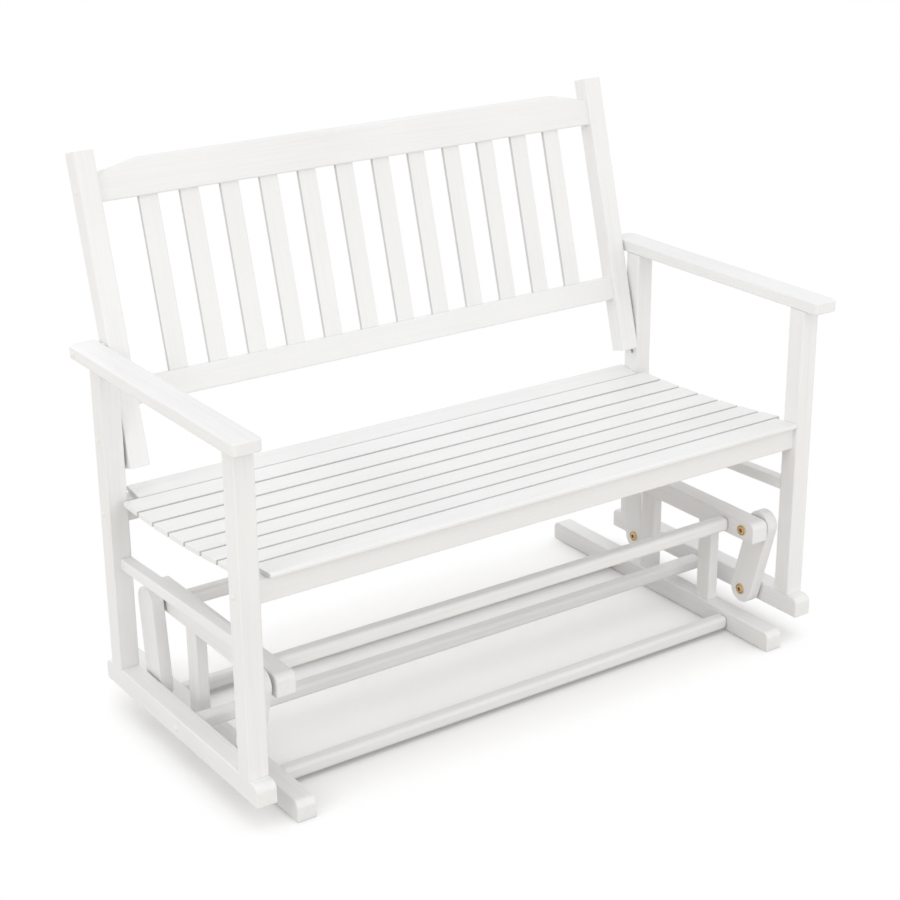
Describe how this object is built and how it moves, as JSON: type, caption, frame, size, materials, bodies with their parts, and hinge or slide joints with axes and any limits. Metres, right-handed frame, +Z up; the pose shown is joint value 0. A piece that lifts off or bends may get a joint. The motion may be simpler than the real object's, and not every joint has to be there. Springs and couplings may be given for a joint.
{
  "type": "glider bench",
  "caption": "Slatted garden glider bench: seat, armrests and leaning back hang on swing arms from a low timber base and glide forwards and backwards.",
  "frame": {"origin": "on the floor under the middle of the bench's overall width and depth", "axes": "+X along the bench to the right as seen from the front, -Y the way the seat faces, +Z up"},
  "size_m": [1.2248, 0.655, 0.9777],
  "materials": {
    "painted_timber": "satin white paint on planed hardwood, edges eased",
    "brass_bolt": "brass-plated socket-head bolts and washers",
    "capped_bolt": "steel bolts and spacers under white caps"
  },
  "bodies": {
    "base": {"left_floor_rail": "painted_timber", "right_floor_rail": "painted_timber", "left_top_rail": "painted_timber", "right_top_rail": "painted_timber", "left_front_upright": "painted_timber", "right_front_upright": "painted_timber", "left_rear_upright": "painted_timber", "right_rear_upright": "painted_timber", "upper_front_stretcher": "painted_timber", "upper_rear_stretcher": "painted_timber", "lower_front_stretcher": "painted_timber", "lower_rear_stretcher": "painted_timber", "upper_pivot_bolts": "brass_bolt"},
    "glider": {"left_front_leg": "painted_timber", "right_front_leg": "painted_timber", "left_rear_leg": "painted_timber", "right_rear_leg": "painted_timber", "left_armrest": "painted_timber", "right_armrest": "painted_timber", "left_side_rail": "painted_timber", "right_side_rail": "painted_timber", "left_foot_rail": "painted_timber", "right_foot_rail": "painted_timber", "glider_stretcher": "painted_timber", "front_apron": "painted_timber", "rear_seat_rail": "painted_timber", "left_seat_bearer": "painted_timber", "middle_seat_bearer": "painted_timber", "right_seat_bearer": "painted_timber", "seat_slat_1": "painted_timber", "seat_slat_2": "painted_timber", "seat_slat_3": "painted_timber", "seat_slat_4": "painted_timber", "seat_slat_5": "painted_timber", "seat_slat_6": "painted_timber", "seat_slat_7": "painted_timber", "seat_slat_8": "painted_timber", "seat_slat_9": "painted_timber", "left_back_post": "painted_timber", "right_back_post": "painted_timber", "crest_rail": "painted_timber", "lower_back_rail": "painted_timber", "back_slat_1": "painted_timber", "back_slat_2": "painted_timber", "back_slat_3": "painted_timber", "back_slat_4": "painted_timber", "back_slat_5": "painted_timber", "back_slat_6": "painted_timber", "back_slat_7": "painted_timber", "back_slat_8": "painted_timber", "back_slat_9": "painted_timber", "back_slat_10": "painted_timber", "back_slat_11": "painted_timber", "back_slat_12": "painted_timber", "lower_pivot_bolts": "brass_bolt", "frame_bolts": "capped_bolt"},
    "front_left_swing_arm": {"front_left_swing_arm": "painted_timber"},
    "front_right_swing_arm": {"front_right_swing_arm": "painted_timber"},
    "rear_left_swing_arm": {"rear_left_swing_arm": "painted_timber"},
    "rear_right_swing_arm": {"rear_right_swing_arm": "painted_timber"}
  },
  "joints": [
    {"name": "front_left_swing", "type": "hinge", "parent": "base", "child": "front_left_swing_arm", "pos_m": [-0.541, -0.241, 0.22], "axis": [1, 0, 0], "range_deg": [-18.5, 18.5]},
    {"name": "front_right_swing", "type": "hinge", "parent": "base", "child": "front_right_swing_arm", "pos_m": [0.541, -0.241, 0.22], "axis": [1, 0, 0], "range_deg": [-19, 19]},
    {"name": "rear_left_swing", "type": "hinge", "parent": "base", "child": "rear_left_swing_arm", "pos_m": [-0.541, 0.1316, 0.22], "axis": [1, 0, 0], "range_deg": [-18.5, 18.5]},
    {"name": "rear_right_swing", "type": "hinge", "parent": "base", "child": "rear_right_swing_arm", "pos_m": [0.541, 0.1316, 0.22], "axis": [1, 0, 0], "range_deg": [-18.5, 18.5]},
    {"name": "glide_tilt", "type": "hinge", "parent": "front_left_swing_arm", "child": "glider", "pos_m": [-0.541, -0.20179, 0.07366], "axis": [1, 0, 0], "range_deg": [-22.23, 22.23]}
  ],
  "couplings": [
    {"joint": "front_right_swing", "follows": "front_left_swing", "ratio": 1},
    {"joint": "rear_left_swing", "follows": "front_left_swing", "ratio": 0.96687},
    {"joint": "rear_right_swing", "follows": "front_left_swing", "ratio": 0.96687},
    {"joint": "glide_tilt", "follows": "front_left_swing", "ratio": -1.1745}
  ]
}
